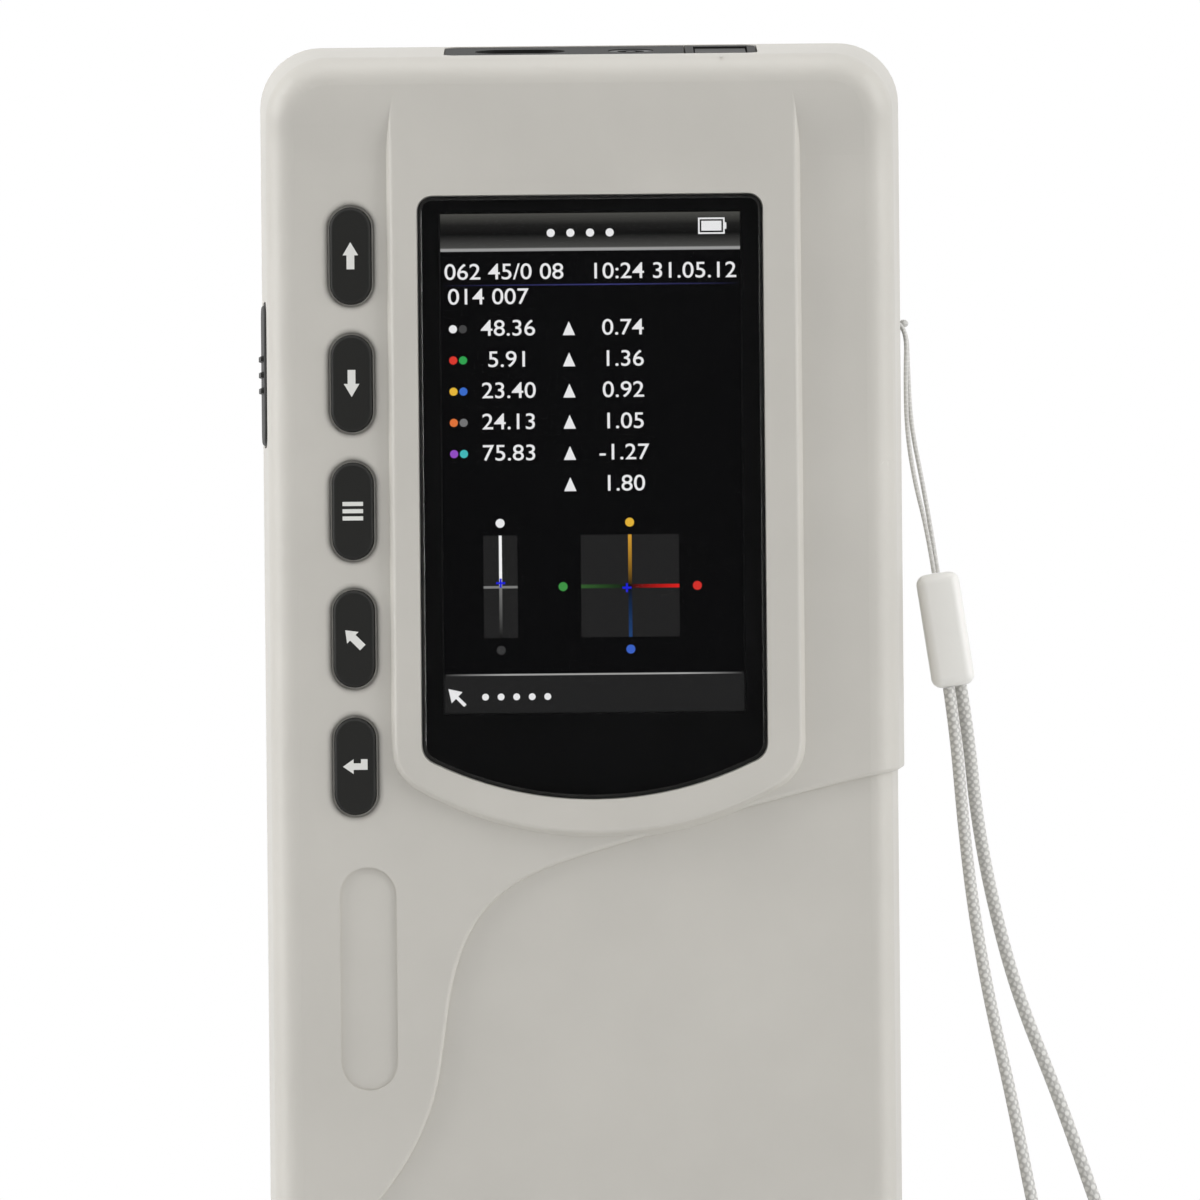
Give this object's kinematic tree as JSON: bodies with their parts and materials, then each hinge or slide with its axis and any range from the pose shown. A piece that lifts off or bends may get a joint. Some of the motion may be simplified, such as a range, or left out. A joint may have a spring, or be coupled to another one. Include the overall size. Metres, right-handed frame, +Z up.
{
  "type": "hand-held colorimeter",
  "caption": "Hand-held colour meter with a framed colour display, side keys, measuring trigger, push-on calibration cap and a wrist strap.",
  "frame": {"origin": "Middle of the underside of the calibration cap, on the surface that the instrument stands on.", "axes": "The display faces -Y, +X is the right side as seen from the front, +Z is up along the body."},
  "size_m": [0.1194, 0.0729, 0.205],
  "materials": {
    "housing_grey": "warm light grey moulded plastic, fine satin",
    "rubber_grey": "moulded rubber pad",
    "window_glass": "clear window with black border",
    "screen_glass": "dark colour display, matt polariser",
    "foam_black": "black foam",
    "sheet_metal": "tinned sheet",
    "key_black": "black moulded key caps",
    "silicone_grey": "silicone",
    "black_plastic": "black moulded plastic",
    "board_green": "solder-masked glass fibre board",
    "white_plastic": "plug housings",
    "flex_amber": "polyimide ribbon",
    "panel_black": "dark panel, fine matt",
    "battery_black": "battery case",
    "contact_gold": "gold-plated spring strip",
    "black_metal": "black anodised",
    "tile_white": "white ceramic reference tile",
    "led_clear": "clear epoxy lamps",
    "lens_glass": "clear lens",
    "screw_steel": "plated steel",
    "bead_white": "white moulded bead",
    "strap_grey": "pale braided nylon"
  },
  "bodies": {
    "instrument": {"front_shell": "housing_grey", "rear_shell": "housing_grey", "base_foot": "housing_grey", "display_window": "window_glass", "window_gasket": "foam_black", "lcd_module": "screen_glass", "lcd_bracket": "sheet_metal", "keypad_mat": "silicone_grey", "trigger_switch": "black_plastic", "main_board": "board_green", "board_chips": "black_plastic", "board_shield": "sheet_metal", "coin_cell": "sheet_metal", "buzzer": "black_plastic", "board_connectors": "white_plastic", "display_flex": "flex_amber", "connector_panel": "panel_black", "usb_port": "sheet_metal", "dc_jack": "black_plastic", "connector_board": "board_green", "rocker_frame": "panel_black", "battery_tray": "black_plastic", "battery_pack": "battery_black", "battery_contacts": "contact_gold", "base_seal": "foam_black", "aperture_plate": "black_metal", "optics_housing": "black_plastic", "illumination_board": "board_green", "leds": "led_clear", "light_baffle": "black_plastic", "front_lens": "lens_glass", "lens_retainer": "black_metal", "sensor_board": "board_green", "sensor_chip": "black_plastic", "sensor_shield": "sheet_metal", "sensor_flex": "flex_amber", "case_screws": "screw_steel", "board_screws": "screw_steel", "base_screws": "screw_steel", "optics_screws": "screw_steel", "strap_bar": "screw_steel", "strap_bead": "bead_white", "strap_string": "strap_grey", "strap_braid": "strap_grey"},
    "key_up_body": {"key_up": "key_black"},
    "key_down_body": {"key_down": "key_black"},
    "key_menu_body": {"key_menu": "key_black"},
    "key_standard_body": {"key_standard": "key_black"},
    "key_enter_body": {"key_enter": "key_black"},
    "trigger_button_body": {"trigger_button": "housing_grey"},
    "power_rocker_body": {"power_rocker": "black_plastic"},
    "battery_door_body": {"battery_door": "housing_grey"},
    "cap_body": {"calibration_cap": "housing_grey", "cap_grip": "rubber_grey", "tile_seat": "foam_black", "white_tile": "tile_white"}
  },
  "joints": [
    {"name": "key_up_press", "type": "slide", "parent": "instrument", "child": "key_up_body", "axis": [0, 1, 0], "range_m": [0, 0.0006], "stiffness_N_per_m": 500},
    {"name": "key_down_press", "type": "slide", "parent": "instrument", "child": "key_down_body", "axis": [0, 1, 0], "range_m": [0, 0.0006], "stiffness_N_per_m": 500},
    {"name": "key_menu_press", "type": "slide", "parent": "instrument", "child": "key_menu_body", "axis": [0, 1, 0], "range_m": [0, 0.0006], "stiffness_N_per_m": 500},
    {"name": "key_standard_press", "type": "slide", "parent": "instrument", "child": "key_standard_body", "axis": [0, 1, 0], "range_m": [0, 0.0006], "stiffness_N_per_m": 500},
    {"name": "key_enter_press", "type": "slide", "parent": "instrument", "child": "key_enter_body", "axis": [0, 1, 0], "range_m": [0, 0.0006], "stiffness_N_per_m": 500},
    {"name": "trigger_press", "type": "slide", "parent": "instrument", "child": "trigger_button_body", "axis": [1, 0, 0], "range_m": [0, 0.0012], "stiffness_N_per_m": 600},
    {"name": "power_rocker_tilt", "type": "hinge", "parent": "instrument", "child": "power_rocker_body", "pos_m": [0.0174, -0.02114, 0.20204], "axis": [1, 0, 0], "range_deg": [0, 18]},
    {"name": "battery_door_tilt", "type": "hinge", "parent": "instrument", "child": "battery_door_body", "pos_m": [0, 0.017, 0.088], "axis": [-1, 0, 0], "range_deg": [0, 70]},
    {"name": "cap_pull", "type": "slide", "parent": "instrument", "child": "cap_body", "axis": [0, 0, -1], "range_m": [0, 0.04]}
  ]
}
